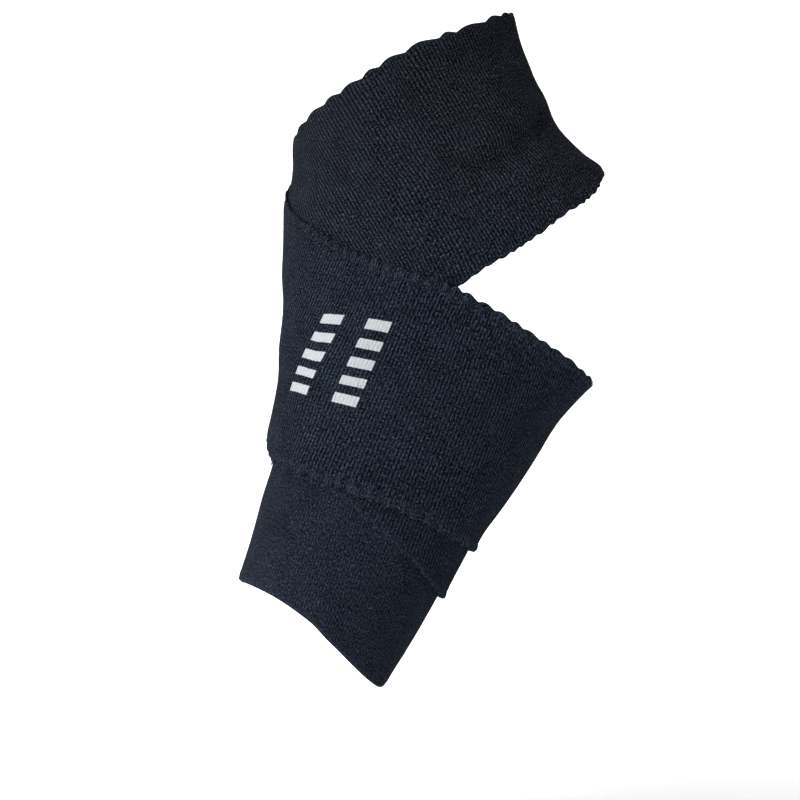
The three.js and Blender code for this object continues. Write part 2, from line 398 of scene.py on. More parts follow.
def form_frame(turn, along):
    """The form's outward normal, and its lengths for a degree and for a unit along."""
    turn_step, along_step = 0.1, 0.001
    across = form_point(turn + turn_step, along) - form_point(turn - turn_step, along)
    up = form_point(turn, along + along_step) - form_point(turn, along - along_step)
    per_degree = np.linalg.norm(across, axis=-1) / (2 * turn_step)
    per_along = np.linalg.norm(up, axis=-1) / (2 * along_step)
    return unit(np.cross(up, across)), per_degree, per_along


def ramp(value):
    value = np.clip(value, 0, 1)
    return value * value * (3 - 2 * value)


def bell(distance, width):
    return np.exp(-((distance / width) ** 2))


def rounded(distance, radius):
    """The rise of a round edge: 0 at the rim, 1 from the radius on."""
    return np.sqrt(np.clip(1 - (1 - np.clip(distance / radius, 0, 1)) ** 2, 0, 1))


def strap_cover(wound, along):
    """How much of the strap lies under a point: 1 on it, falling to 0 beside it."""
    inside = np.clip(wound, STRAP_START, STRAP_END)
    lower = table_value(STRAP_EDGES, 1, inside) - LIFT_MARGIN
    upper = table_value(STRAP_EDGES, 2, inside) + LIFT_MARGIN
    return (
        ramp((along - lower) / LIFT_FALL + 1)
        * ramp((upper - along) / LIFT_FALL + 1)
        * ramp((wound - STRAP_START + END_MARGIN) / END_FALL + 1)
        * ramp((STRAP_END + END_MARGIN - wound) / END_FALL + 1)
    )


def layer_height(wound, along):
    """Height above the form of a layer lying on the foot band and every earlier turn of strap."""
    layers = ramp((BAND_TOP + LIFT_MARGIN - along) / LIFT_FALL + 1)
    turns_back = int((STRAP_END + FULL_TURN - STRAP_START) // FULL_TURN) + 1
    for turn in range(1, turns_back + 1):
        layers = layers + strap_cover(wound - turn * FULL_TURN, along)
    return layers * LAYER_PITCH


def fold_height(wound, along):
    _, per_degree, per_along = form_frame(wound, along)
    height = 0
    for turn_a, along_a, turn_b, along_b, rise, half_width in FOLDS:
        line = np.stack([(turn_b - turn_a) * per_degree, (along_b - along_a) * per_along], -1)
        here = np.stack([(wound - turn_a) * per_degree, (along - along_a) * per_along], -1)
        share = np.clip((here * line).sum(-1) / (line ** 2).sum(-1), 0, 1)
        distance = np.linalg.norm(here - line * share[..., None], axis=-1)
        height = height + rise * CLOTH_WALL * bell(distance, half_width * CLOTH_WALL)
    return height


def strap_height(wound, along):
    return layer_height(wound, along) + fold_height(wound, along)


def band_fullness(wound, along):
    """How far the foot band stands off in front, below the strap, and draws in underneath."""
    front = 1.2 * MM * ramp((0.265 - along) / 0.10) * ramp(1.4 - np.abs(wound - 172) / 50)
    under = 0.4 * MM * ramp(1.4 - np.minimum(wound, FULL_TURN - wound) / 30)
    return front - under


def lifted(wound, along, height):
    normal, _, _ = form_frame(wound, along)
    return form_point(wound, along) + normal * np.asarray(height)[..., None]


def lengths(points):
    """The distance along a line of points, from its first."""
    return np.concatenate([[0], np.cumsum(np.linalg.norm(np.diff(points, axis=0), axis=-1))])


def slow_waves(x, y, longest, seed):
    """Smooth random waves over a sheet, between about -1 and 1."""
    rng = np.random.default_rng(seed)
    total = np.zeros(np.broadcast(x, y).shape)
    for _ in range(WAVES_IN_SUM):
        length = longest * rng.uniform(0.4, 1.0)
        way = rng.uniform(0, math.pi)
        turn = rng.uniform(0, 2 * math.pi)
        total = total + np.sin(2 * math.pi * (x * math.cos(way) + y * math.sin(way)) / length + turn)
    return total / WAVE_SUM_SPREAD


class Cloth:
    """A ribbed cloth on the form, between the two edges of a table, with its own ruler along it."""

    def __init__(self, name, edges, closed, height, hems, pitch, rib_ways, seed):
        self.name = name
        self.closed = closed
        self.height = height
        self.hems = hems
        self.seed = seed
        self.turns = np.linspace(edges[0, 0], edges[-1, 0], RULER_STEPS)
        self.lower = table_value(edges, 1, self.turns)
        self.upper = table_value(edges, 2, self.turns)
        self.ruler = self.measured((self.lower + self.upper) / 2)
        self.length = self.ruler[-1]
        self.ribs = round(self.length / pitch)
        self.rib_lines = self.drawn_rib_lines(rib_ways)
        rng = np.random.default_rng(seed)
        self.phases = [self.scallop_phase(side, rng) for side in (0, 1)]

    def drawn_rib_lines(self, ways):
        """Where each rib runs: degrees wound at even steps across the cloth, from its middle out."""
        middle = RIB_STEPS // 2
        lines = np.tile(self.turns, (RIB_STEPS + 1, 1))
        if ways is None:
            return lines
        angle = np.radians(np.interp(self.turns, ways[:, 0], ways[:, 1]))
        still = self.away_from_ends(self.ruler)
        for way in (1, -1):
            for step in range(middle):
                row = middle + way * step
                slope = self.rib_slope(lines[row], row / RIB_STEPS, angle)
                half = lines[row] + slope * way / RIB_STEPS / 2
                slope = self.rib_slope(half, (row + way / 2) / RIB_STEPS, angle) * still
                lines[row + way] = lines[row] + slope * way / RIB_STEPS
        return self.turns + self.evened(lines - self.turns)

    def evened(self, lean):
        """The ribs' lean averaged with their neighbours', so that no ribs bunch up or part."""
        reach = round(RIB_EVENING / (self.turns[1] - self.turns[0]))
        weights = np.exp(-np.linspace(-2, 2, 2 * reach + 1) ** 2)
        padded = np.pad(lean, ((0, 0), (reach, reach)), mode="edge")
        return np.stack([np.convolve(row, weights / weights.sum(), "valid") for row in padded])

    def rib_slope(self, wound, share, angle):
        """Degrees wound for a step across the cloth along a rib: square to the cloth, or at an angle
        seen from the outer side where that is in view."""

        def on_form(turn, part):
            low, high = self.edges_at(turn)
            return form_point(turn, low + (high - low) * part)

        length_way = on_form(wound + 0.5, share) - on_form(wound - 0.5, share)
        cross_way = (on_form(wound, share + 0.01) - on_form(wound, share - 0.01)) / 0.02
        outward = unit(np.cross(cross_way, length_way))
        square = np.cross(unit(length_way), outward)
        facing = np.minimum(outward[:, 1], -LEAST_FACING)
        depth = -(np.cos(angle) * outward[:, 0] + np.sin(angle) * outward[:, 2]) / facing
        seen = unit(np.stack([np.cos(angle), depth, np.sin(angle)], -1))
        weight = ramp((-outward[:, 1] - SEEN_FROM) / SEEN_OVER)[:, None]
        rib = square * (1 - weight) + seen * weight
        beside = np.cross(outward, rib)
        return -(cross_way * beside).sum(-1) / (length_way * beside).sum(-1)

    def edges_at(self, wound):
        """The lower and upper edge, as places along the form."""
        return np.interp(wound, self.turns, self.lower), np.interp(wound, self.turns, self.upper)

    def laid(self, wound, share):
        """Degrees wound on the rib that crosses the cloth's middle at the given place."""
        across = np.clip(share, 0, 1) * RIB_STEPS
        row = np.minimum(across.astype(int), RIB_STEPS - 1)
        turn_share = (wound - self.turns[0]) / (self.turns[-1] - self.turns[0])
        place = np.clip(turn_share, 0, 1) * (len(self.turns) - 1)
        column = np.minimum(place.astype(int), len(self.turns) - 2)
        up, on = across - row, place - column
        lines = self.rib_lines
        below = lines[row, column] * (1 - on) + lines[row, column + 1] * on
        above = lines[row + 1, column] * (1 - on) + lines[row + 1, column + 1] * on
        return below * (1 - up) + above * up

    def measured(self, along):
        return lengths(lifted(self.turns, along, self.height(self.turns, along)))

    def edge_ruler(self, side):
        return self.measured((self.lower, self.upper)[side])

    def scallop_phase(self, side, rng):
        """Scallops counted along one edge, each a little longer or shorter than the next."""
        ruler = self.edge_ruler(side)
        stops = [0.0]
        while stops[-1] < ruler[-1]:
            pitch = self.hem(side, SPACING, np.interp(stops[-1], ruler, self.turns))
            stops.append(stops[-1] + pitch * (1 + rng.uniform(-1, 1) * SCALLOP_UNEVENNESS))
        return np.interp(ruler, stops, np.arange(len(stops)))

    def at(self, distance):
        return np.interp(distance, self.ruler, self.turns)

    def distance(self, wound):
        return np.interp(wound, self.turns, self.ruler)

    def hem(self, side, column, wound):
        return np.interp(wound, self.hems[side][:, 0], self.hems[side][:, column]) * MM

    def away_from_ends(self, distance):
        return ramp(distance / STILL_END) * ramp((self.length - distance) / STILL_END)

    def wander(self, wound, share):
        """How far the ribs are pushed along the cloth, in degrees."""
        distance = self.distance(wound)
        waves = slow_waves(distance, share * STRAP_BREADTH, WANDER_LENGTH, self.seed + 100)
        pushed = waves * RIB_WANDER * self.away_from_ends(distance)
        return pushed * np.gradient(self.turns, self.ruler).mean()

    def wave_height(self, wound, share):
        distance = self.distance(wound)
        waves = slow_waves(distance, share * STRAP_BREADTH, WAVE_LENGTH, self.seed + 200)
        return (waves * 0.5 + 0.5) * WAVE_HEIGHT * self.away_from_ends(distance)

    def crumple(self, wound, share, side):
        """Short puckers of a drawn-up hem, longer across the cloth than along it."""
        across = share * STRAP_BREADTH * 0.45
        return slow_waves(self.distance(wound), across, CRUMPLE_LENGTH, self.seed + 300 + side)

    def hem_shape(self, side, inward, wound, share):
        """One hem, at a distance inward from its edge: how far the cloth reaches out, how far it
        lifts off, and how much of a hem it is."""
        phase = np.interp(wound, self.turns, self.phases[side]) % 1
        bulge = np.abs(np.sin(np.pi * phase ** SCALLOP_SKEW)) ** 0.9
        fade = bell(inward, SCALLOP_FADE)
        outward = self.hem(side, DEPTH, wound) * (bulge - 0.3) * fade
        outward = outward + self.hem(side, REACH, wound) * bell(inward, REACH_FADE)
        roll, width = self.hem(side, ROLL, wound), self.hem(side, WIDTH, wound)
        puckered = np.clip(width / (3 * MM) - 0.4, 0, 1) * bell(inward, 1.2 * width)
        lift = (bulge - 0.45) * self.hem(side, PUFF, wound) * fade
        lift = lift + roll * bell(inward - ROLL_WIDTH, ROLL_WIDTH)
        lift = lift + self.crumple(wound, share, side) * puckered * CRUMPLE_HEIGHT
        seam = bell(inward - width * 0.95, SEAM_WIDTH)
        lift = lift - np.clip(roll, 0.1 * MM, 0.4 * MM) * 0.8 * seam
        return outward, lift, ramp(1.4 - inward / width)

    def point(self, wound, share, outside):
        """A point of the cloth, how much of a hem it is, and its distance across. share goes from 0
        at the lower edge to 1 at the upper one."""
        share = np.broadcast_to(share, np.broadcast(wound, share).shape)
        lift = self.wave_height(wound, share)
        wound = self.laid(wound + self.wander(wound, share), share)
        low, high = self.edges_at(wound)
        along = low + (high - low) * share
        _, _, per_along = form_frame(wound, along)
        breadth = (high - low) * per_along
        shift, hem = np.zeros(share.shape), np.zeros(share.shape)
        for side in (0, 1):
            outward, rise, part = self.hem_shape(side, np.abs(share - side) * breadth, wound, share)
            shift = shift + (2 * side - 1) * outward
            lift = lift + rise
            hem = hem + part
        edge = np.minimum(share, 1 - share) * breadth
        roll = np.where(share < 0.5, self.hem(0, ROLL, wound), self.hem(1, ROLL, wound))
        round_over = rounded(edge, EDGE_ROUNDING + 1.4 * np.maximum(roll, 0))
        lift = lift * (0.3 + 0.7 * round_over)
        if outside:
            top = CLOTH_WALL * (0.5 + 0.5 * round_over) + lift
        else:
            top = CLOTH_WALL * (0.5 - 0.5 * round_over) + np.maximum(lift, 0) * 0.35
        point = lifted(wound, along + shift / per_along, self.height(wound, along) + top)
        whole = (high - low) * form_frame(wound, (low + high) / 2)[2]
        return point, np.clip(hem, 0, 1), share * whole


def plain_mesh(name, points, faces):
    mesh = bpy.data.meshes.new(name)
    mesh.from_pydata(points.tolist(), [], faces)
    mesh.polygons.foreach_set("use_smooth", np.ones(len(mesh.polygons), bool))
    return mesh


def add_attribute(mesh, name, values):
    """Writes a number, or a vector, on each point of a mesh."""
    kind, key = ("FLOAT", "value") if values.ndim == 1 else ("FLOAT_VECTOR", "vector")
    layer = mesh.attributes.new(name, kind, "POINT")
    layer.data.foreach_set(key, values.astype(np.float32).ravel())


def corner_points(mesh):
    corners = np.zeros(len(mesh.loops), np.int32)
    mesh.loops.foreach_get("vertex_index", corners)
    return corners


def write_uv(mesh, name, u, v):
    layer = mesh.uv_layers.new(name=name)
    layer.data.foreach_set("uv", np.stack([u, v], -1).astype(np.float32).ravel())


def new_object(name, data):
    obj = bpy.data.objects.new(name, data)
    bpy.context.scene.collection.objects.link(obj)
    return obj


def grid_ids(columns, rows, first, closed):
    """Point numbers of a grid, column by column, with its first column again where it closes."""
    ids = first + np.arange(columns * rows).reshape(columns, rows)
    return (np.concatenate([ids, ids[:1]]) if closed else ids).tolist()


def hem_spacing():
    """Shares across the cloth, close together in the hems and even between them."""
    hem = np.array(HEM_ROWS) * MM / STRAP_BREADTH
    middle = np.linspace(hem[-1], 1 - hem[-1], ROWS_BETWEEN_HEMS)[1:-1]
    return np.concatenate([hem, middle, 1 - hem[::-1]])


def rim_faces(outer, inner, column):
    """The faces that join three fine columns to a coarse one, at both rims."""
    first = column * COLUMNS_PER_RIB
    half, last = first + COLUMNS_PER_RIB // 2, first + COLUMNS_PER_RIB
    faces = []
    for flip, row in ((1, 0), (-1, -1)):
        left, right = inner[column][row], inner[column + 1][row]
        fans = [(outer[c][row], outer[c + 1][row], left) for c in range(first, half)]
        fans += [(outer[c][row], outer[c + 1][row], right) for c in range(half, last)]
        fans.append((outer[half][row], right, left))
        faces += [face[::flip] for face in fans]
    return faces


def end_faces(outer, inner):
    """The faces that close a strip's two cut ends."""
    faces = []
    for flip, column in ((1, 0), (-1, -1)):
        fine, coarse = outer[column], inner[column]
        for row in range(len(coarse) - 1):
            face = (fine[2 * row], coarse[row], coarse[row + 1], fine[2 * row + 2], fine[2 * row + 1])
            faces.append(face[::flip])
    return faces


def cloth_mesh(cloth):
    """One closed mesh: a fine outer face with room for ribs, a plainer inner face, and round rims."""
    ruler = np.linspace(0, cloth.length, cloth.ribs * COLUMNS_PER_RIB + 1)
    if cloth.closed:
        ruler = ruler[:-1]
    coarse_ruler = ruler[::COLUMNS_PER_RIB]
    outer_share = hem_spacing()
    inner_share = outer_share[::2]
    outer_point, outer_hem, outer_across = cloth.point(cloth.at(ruler)[:, None], outer_share, True)
    inner_point, inner_hem, inner_across = cloth.point(cloth.at(coarse_ruler)[:, None], inner_share, False)
    base = outer_hem.size
    outer = grid_ids(len(ruler), len(outer_share), 0, cloth.closed)
    inner = grid_ids(len(coarse_ruler), len(inner_share), base, cloth.closed)
    faces = [
        (left[row], left[row + 1], right[row + 1], right[row])
        for left, right in zip(outer, outer[1:]) for row in range(len(outer_share) - 1)
    ]
    for column in range(cloth.ribs):
        left, right = inner[column], inner[column + 1]
        faces += [
            (left[row], right[row], right[row + 1], left[row + 1])
            for row in range(len(inner_share) - 1)
        ]
        faces += rim_faces(outer, inner, column)
    if not cloth.closed:
        faces += end_faces(outer, inner)
    points = np.concatenate([outer_point.reshape(-1, 3), inner_point.reshape(-1, 3)])
    mesh = plain_mesh(cloth.name, points, faces)
    distance = np.concatenate([
        np.repeat(ruler, len(outer_share)), np.repeat(coarse_ruler, len(inner_share)),
    ])
    hem = np.concatenate([outer_hem.ravel(), inner_hem.ravel()])
    across = np.concatenate([outer_across.ravel(), inner_across.ravel()])
    outside = np.repeat([1.0, 0.0], [base, len(points) - base])
    for name, values in (("ruler", distance), ("hem", hem), ("outside", outside), ("across", across)):
        add_attribute(mesh, name, values)
    knit_map(mesh, distance, across, cloth)
    return mesh


def knit_map(mesh, distance, across, cloth):
    """The map "knit": metres along the cloth and across it, unbroken where a ring closes."""
    corners = corner_points(mesh)
    corner_u = distance[corners].copy()
    if cloth.closed:
        start, total = np.zeros((2, len(mesh.polygons)), np.int32)
        mesh.polygons.foreach_get("loop_start", start)
        mesh.polygons.foreach_get("loop_total", total)
        highest = np.repeat(np.maximum.reduceat(corner_u, start), total)
        corner_u[highest - corner_u > cloth.length / 2] += cloth.length
    write_uv(mesh, "knit", corner_u, across[corners])


class Value:
    """A number in a node tree. Arithmetic on it adds the nodes that work it out."""

    def __init__(self, tree, socket):
        self.tree = tree
        self.socket = socket

    def __add__(self, other):
        return self.tree.math("ADD", self, other)

    def __sub__(self, other):
        return self.tree.math("SUBTRACT", self, other)

    def __rsub__(self, other):
        return self.tree.math("SUBTRACT", other, self)

    def __mul__(self, other):
        return self.tree.math("MULTIPLY", self, other)

    def __truediv__(self, other):
        return self.tree.math("DIVIDE", self, other)

    def __pow__(self, other):
        return self.tree.math("POWER", self, other)

    def __abs__(self):
        return self.tree.math("ABSOLUTE", self)


class Tree:
    """Short calls for adding nodes to a tree and joining them up."""

    def __init__(self, tree):
        self.tree = tree

    def node(self, kind, inputs=(), **settings):
        node = self.tree.nodes.new(kind)
        for key, value in settings.items():
            setattr(node, key, value)
        for key, value in dict(inputs).items():
            self.feed(node.inputs[key], value)
        return node

    def feed(self, socket, value):
        if isinstance(value, Value):
            value = value.socket
        if isinstance(value, bpy.types.NodeSocket):
            self.tree.links.new(value, socket)
        else:
            socket.default_value = value

    def math(self, operation, *values):
        node = self.node("ShaderNodeMath", operation=operation)
        for socket, value in zip(node.inputs, values):
            self.feed(socket, value)
        return Value(self, node.outputs[0])

    def clamp(self, value, low, high):
        return self.math("MAXIMUM", self.math("MINIMUM", value, high), low)

    def ramp(self, value, low, high, to_low=0.0, to_high=1.0):
        """A smooth step between two values."""
        node = self.node("ShaderNodeMapRange", {
            "Value": value, "From Min": low, "From Max": high, "To Min": to_low, "To Max": to_high,
        }, interpolation_type="SMOOTHSTEP")
        return Value(self, node.outputs["Result"])

    def mix(self, share, first, second):
        node = self.node("ShaderNodeMix", data_type="RGBA", clamp_factor=False)
        for key, value in (("Factor", share), (6, first), (7, second)):
            self.feed(node.inputs[key], value)
        return node.outputs[2]

    def parts(self, vector):
        outputs = self.node("ShaderNodeSeparateXYZ", {0: vector}).outputs
        return [Value(self, outputs[axis]) for axis in "XYZ"]

    def vector(self, **parts):
        return self.node("ShaderNodeCombineXYZ", parts).outputs[0]

    def random(self, low, high, **inputs):
        node = self.node("FunctionNodeRandomValue", inputs, data_type="FLOAT")
        self.feed(node.inputs[2], low)
        self.feed(node.inputs[3], high)
        return Value(self, node.outputs[1])

    def attribute(self, name, kind="FLOAT"):
        node = self.node("GeometryNodeInputNamedAttribute", {"Name": name}, data_type=kind)
        return Value(self, node.outputs["Attribute"])

    def noise(self, spot, scale, detail=1.0):
        """Even noise between about -1 and 1."""
        node = self.node("ShaderNodeTexNoise", {"Vector": spot, "Scale": scale, "Detail": detail})
        return (Value(self, node.outputs["Fac"]) - 0.5) * 3.2

    def stretched_noise(self, uv, across_ribs, along_ribs):
        """Noise on the knit map, with so many waves to the metre across the ribs and along them."""
        waves = (across_ribs, along_ribs, 1.0)
        scaled = self.node("ShaderNodeVectorMath", {0: uv, 1: waves}, operation="MULTIPLY")
        return self.noise(scaled.outputs[0], 1.0)

    def object_place(self):
        return self.node("ShaderNodeTexCoord").outputs["Object"]

    def bent_thread(self, start, middle, end, radius, steps):
        """A closed round thread along a bent line."""
        line = self.node("GeometryNodeCurveQuadraticBezier", {
            "Resolution": steps, "Start": start, "Middle": middle, "End": end,
        })
        ring = self.node("GeometryNodeCurvePrimitiveCircle", {"Resolution": steps, "Radius": radius})
        return self.node("GeometryNodeCurveToMesh", {
            "Curve": line.outputs[0], "Profile Curve": ring.outputs[0], "Fill Caps": True,
        }).outputs[0]

    def finish(self, result, geometry, material, smooth=False):
        """The tree's last nodes: instances made real, and the material set."""
        geometry = self.node("GeometryNodeRealizeInstances", {"Geometry": geometry}).outputs[0]
        if smooth:
            geometry = self.node("GeometryNodeSetShadeSmooth", {"Geometry": geometry}).outputs[0]
        painted = self.node("GeometryNodeSetMaterial", {"Geometry": geometry, "Material": material})
        self.feed(result.inputs["Geometry"], painted.outputs[0])
        return self


def geometry_tree(name, inputs):
    """A Geometry Nodes tree with a geometry input and output, and named number inputs."""
    group = bpy.data.node_groups.new(name, "GeometryNodeTree")
    group.interface.new_socket("Geometry", in_out="INPUT", socket_type="NodeSocketGeometry")
    for label, value in inputs.items():
        kind = "NodeSocketInt" if isinstance(value, int) else "NodeSocketFloat"
        group.interface.new_socket(label, in_out="INPUT", socket_type=kind).default_value = value
    group.interface.new_socket("Geometry", in_out="OUTPUT", socket_type="NodeSocketGeometry")
    tree = Tree(group)
    source = tree.node("NodeGroupInput")
    return tree, source.outputs, tree.node("NodeGroupOutput")


def run_tree(obj, tree, values):
    """Runs a tree on an object and keeps the result as its plain mesh."""
    modifier = obj.modifiers.new(tree.tree.name, "NODES")
    modifier.node_group = tree.tree
    for item in tree.tree.interface.items_tree:
        if item.in_out == "INPUT" and item.name in values:
            modifier[item.identifier] = values[item.name]
    graph = bpy.context.evaluated_depsgraph_get()
    mesh = bpy.data.meshes.new_from_object(obj.evaluated_get(graph))
    obj.modifiers.clear()
    obj.data = mesh
    mesh.name = obj.name
    return obj


def new_material(name, roughness, specular):
    """A material, its tree and its shader, with the two numbers that are the same all over it."""
    material = bpy.data.materials.new(name)
    material.use_nodes = True
    shader = material.node_tree.nodes["Principled BSDF"]
    shader.inputs["Roughness"].default_value = roughness
    shader.inputs["Specular IOR Level"].default_value = specular
    return material, Tree(material.node_tree), shader


def add_bump(tree, shader, height, depth, strength=1.0):
    bump = tree.node("ShaderNodeBump", {"Height": height, "Distance": depth, "Strength": strength})
    tree.feed(shader.inputs["Normal"], bump.outputs["Normal"])


def rib_tree(material):
    """Raises the knit's ribs on the outer face, and leaves the hems plain."""
    tree, source, result = geometry_tree("rib relief", {
        "Rib Pitch": STRAP_RIB_PITCH, "Rib Height": STRAP_RIB_HEIGHT, "Seed": 1,
    })
    phase = tree.attribute("ruler") / source["Rib Pitch"]
    crest = abs(tree.math("COSINE", phase * math.pi)) ** 0.6
    uneven = tree.random(0.75, 1.15, ID=tree.math("FLOOR", phase + 0.5), Seed=source["Seed"])
    size = tree.attribute("outside") * source["Rib Height"] * (1.0 - tree.attribute("hem")) * uneven
    offset = tree.node("ShaderNodeVectorMath", {
        0: tree.node("GeometryNodeInputNormal").outputs["Normal"], "Scale": size * (crest - 0.7),
    }, operation="SCALE")
    moved = tree.node("GeometryNodeSetPosition", {
        "Geometry": source["Geometry"], "Offset": offset.outputs[0],
    })
    return tree.finish(result, moved.outputs[0], material)


def stitch_tree(material):
    """Lays one bent stitch of thread on every guide point."""
    tree, source, result = geometry_tree("hem stitches", {
        "Stitch Length": HEM_WIDTH, "Stitch Rise": STITCH_RISE, "Thread Radius": THREAD_RADIUS,
    })
    length = Value(tree, source["Stitch Length"])
    thread = tree.bent_thread(
        (0.0, 0.0, -0.1 * MM), tree.vector(X=length * 0.55, Z=source["Stitch Rise"]),
        tree.vector(X=length), source["Thread Radius"], 5,
    )
    turn = tree.node("FunctionNodeAxesToRotation", {
        0: tree.attribute("facing", "FLOAT_VECTOR"), 1: tree.attribute("across_hem", "FLOAT_VECTOR"),
    }, primary_axis="Z", secondary_axis="X")
    copies = tree.node("GeometryNodeInstanceOnPoints", {
        "Points": source["Geometry"], "Instance": thread, "Rotation": turn.outputs[0],
        "Scale": tree.attribute("size"),
    })
    return tree.finish(result, copies.outputs[0], material, smooth=True)


def fibre_tree(material):
    """Scatters short bent fibres over a cloth's outer face."""
    tree, source, result = geometry_tree("loose fibres", {
        "Fibres Per Square Metre": FIBRES_PER_SQUARE_METRE, "Fibre Length": FIBRE_LENGTH,
        "Fibre Radius": FIBRE_RADIUS, "Seed": 3,
    })
    spots = tree.node("GeometryNodeDistributePointsOnFaces", {
        "Mesh": source["Geometry"], "Density": source["Fibres Per Square Metre"],
        "Seed": source["Seed"], "Selection": tree.math("GREATER_THAN", tree.attribute("outside"), 0.5),
    }).outputs
    length = Value(tree, source["Fibre Length"])
    half = length * 0.5
    fibre = tree.bent_thread(
        (0.0, 0.0, 0.0), tree.vector(X=half, Z=half), tree.vector(X=length, Z=half * 0.3),
        source["Fibre Radius"], 3,
    )
    spin = tree.random(0.0, 2 * math.pi, Seed=source["Seed"])
    turned = tree.node("FunctionNodeRotateRotation", {
        "Rotation": spots["Rotation"], "Rotate By": tree.vector(Z=spin),
    }, rotation_space="LOCAL")
    copies = tree.node("GeometryNodeInstanceOnPoints", {
        "Points": spots["Points"], "Instance": fibre, "Rotation": turned.outputs[0],
        "Scale": tree.random(0.4, 1.5, Seed=source["Seed"]),
    })
    return tree.finish(result, copies.outputs[0], material)


def knit_material(name, cloth, clarity, prints=()):
    """Fuzzy ribbed knit: dark grooves of painted shade, paler rib crests with a painted sheen, loops along
    each rib, grain, flecks and painted glints on the crests and hems.
    Clarity is how plainly the ribs stand out. The bare numbers weigh what each pattern adds to the
    light of the knit, which is 0 in a groove and 1 on a crest."""
    material, tree, shader = new_material(name, 0.95, 0.015)
    uv = tree.node("ShaderNodeUVMap", uv_map="knit").outputs["UV"]
    along, across, _ = tree.parts(uv)
    spot = tree.object_place()
    grain = tree.stretched_noise(uv, 2700.0, 1900.0)
    tuft = tree.stretched_noise(uv, 1300.0, 1000.0)
    patch = tree.noise(spot, 150.0, 2.0)
    broad = tree.noise(spot, 26.0)
    height = tree.parts(spot)[2] + broad * (12 * MM)
    depth = tree.ramp(height, FADE_END, CALM_END)
    contrast = tree.ramp(depth, 0.0, 1.0, 1.0, CALM_CONTRAST)

    phase = along / (cloth.length / cloth.ribs) + tuft * 0.07
    crest = abs(tree.math("COSINE", phase * math.pi)) ** 2.2
    half = tree.math("PINGPONG", phase, 0.5)
    slant = across / LOOP_PITCH + half * 1.2 + patch * 0.30 + tuft * 0.14
    loops = tree.math("SINE", slant * (2 * math.pi))
    hem = Value(tree, tree.node("ShaderNodeAttribute", attribute_name="hem").outputs["Fac"])
    plain = 1.0 - hem * 0.8

    clear = tree.math("MAXIMUM", patch * 0.18 + clarity, 0.1) * (loops * 0.14 + 1.0)
    # Painted highlights: bright glints of sheen where the grain noise is high, weighted onto the rib
    # crests and the hems.
    speck = tree.math("MAXIMUM", grain, 0.0) ** 2.0 + tree.math("MINIMUM", grain, 0.0) * 0.55
    glint = speck * (crest * 0.75 + 0.45 + hem * 0.5) * contrast
    ground = tree.ramp(depth, 0.0, 1.0, 0.32 - 0.43 * clarity, 0.38 - 0.43 * clarity)
    light = crest * (clear * contrast) * plain + hem * 0.24 + ground + glint * 2.5
    light = tree.clamp(light + tuft * 0.28 + patch * 0.04 + broad * 0.05, 0.0, 3.4)
    # The knit's colour runs from the painted shade of the grooves to the crest colour with its painted
    # sheen.
    faded = tree.mix(tree.ramp(height, FADE_START, FADE_END), CREST, FADED_CREST)
    color = tree.mix(hem * 0.12, tree.mix(light, GROOVE_SHADE, faded), HEM_COLOR)

    cells = tree.node("ShaderNodeTexVoronoi", {"Vector": spot, "Scale": 760.0}).outputs
    lot = tree.node("ShaderNodeSeparateColor", {0: cells["Color"]}).outputs[0]
    fleck = tree.ramp(cells["Distance"], 0.36, 0.05) * tree.ramp(lot, 0.93, 1.04)
    color = tree.mix(fleck * 0.7, color, FLECK)
    for middle in prints:
        mask = print_mask(tree, (along, across), middle, grain, crest)
        color = tree.mix(mask, color, PRINT_COLOR)
    tree.feed(shader.inputs["Base Color"], color)
    shader.inputs["Sheen Weight"].default_value = 0.01
    shader.inputs["Sheen Roughness"].default_value = 0.5
    shader.inputs["Sheen Tint"].default_value = (0.70, 0.76, 0.95, 1)
    relief = loops * crest * (plain * 0.5) + crest * (plain * 0.6) + grain * 0.70 + tuft * 0.80
    add_bump(tree, shader, relief, 0.14 * MM)
    return material


def print_mask(tree, place, middle, grain, crest):
    """One plain printed bar: a rectangle on the knit, its edges soft and its ribs a little worn."""
    soft = 0.14 * MM
    mask = crest * 0.16 + 0.84
    for at, center, size in zip(place, middle, MARK_SIZE):
        away = abs(at - center) + grain * (0.12 * MM)
        mask = mask * tree.ramp(away, size / 2 + soft, size / 2 - soft)
    return mask * 0.95


def speckled_material(name, roughness, specular, waves, limits, dark, pale):
    """A yarn of two shades, mixed in fine noise. Limits are where the noise turns from one to the
    other."""
    material, tree, shader = new_material(name, roughness, specular)
    speck = tree.node("ShaderNodeTexNoise", {"Vector": tree.object_place(), "Scale": waves}).outputs["Fac"]
    tree.feed(shader.inputs["Base Color"], tree.mix(tree.ramp(speck, *limits), dark, pale))
    return material, tree, shader, speck


def thread_material():
    """Twisted sewing thread, a little glossier than the knit."""
    material, tree, shader, speck = speckled_material(
        "hem thread", 0.8, 0.2, 2600.0, (0.35, 0.7), DARK_THREAD, PALE_THREAD
    )
    add_bump(tree, shader, speck, 0.06 * MM, 0.7)
    return material


def fibre_material():
    return speckled_material("loose fibre", 0.8, 0.1, 300.0, (0.45, 0.75), DARK_FIBRE, PALE_FIBRE)[0]


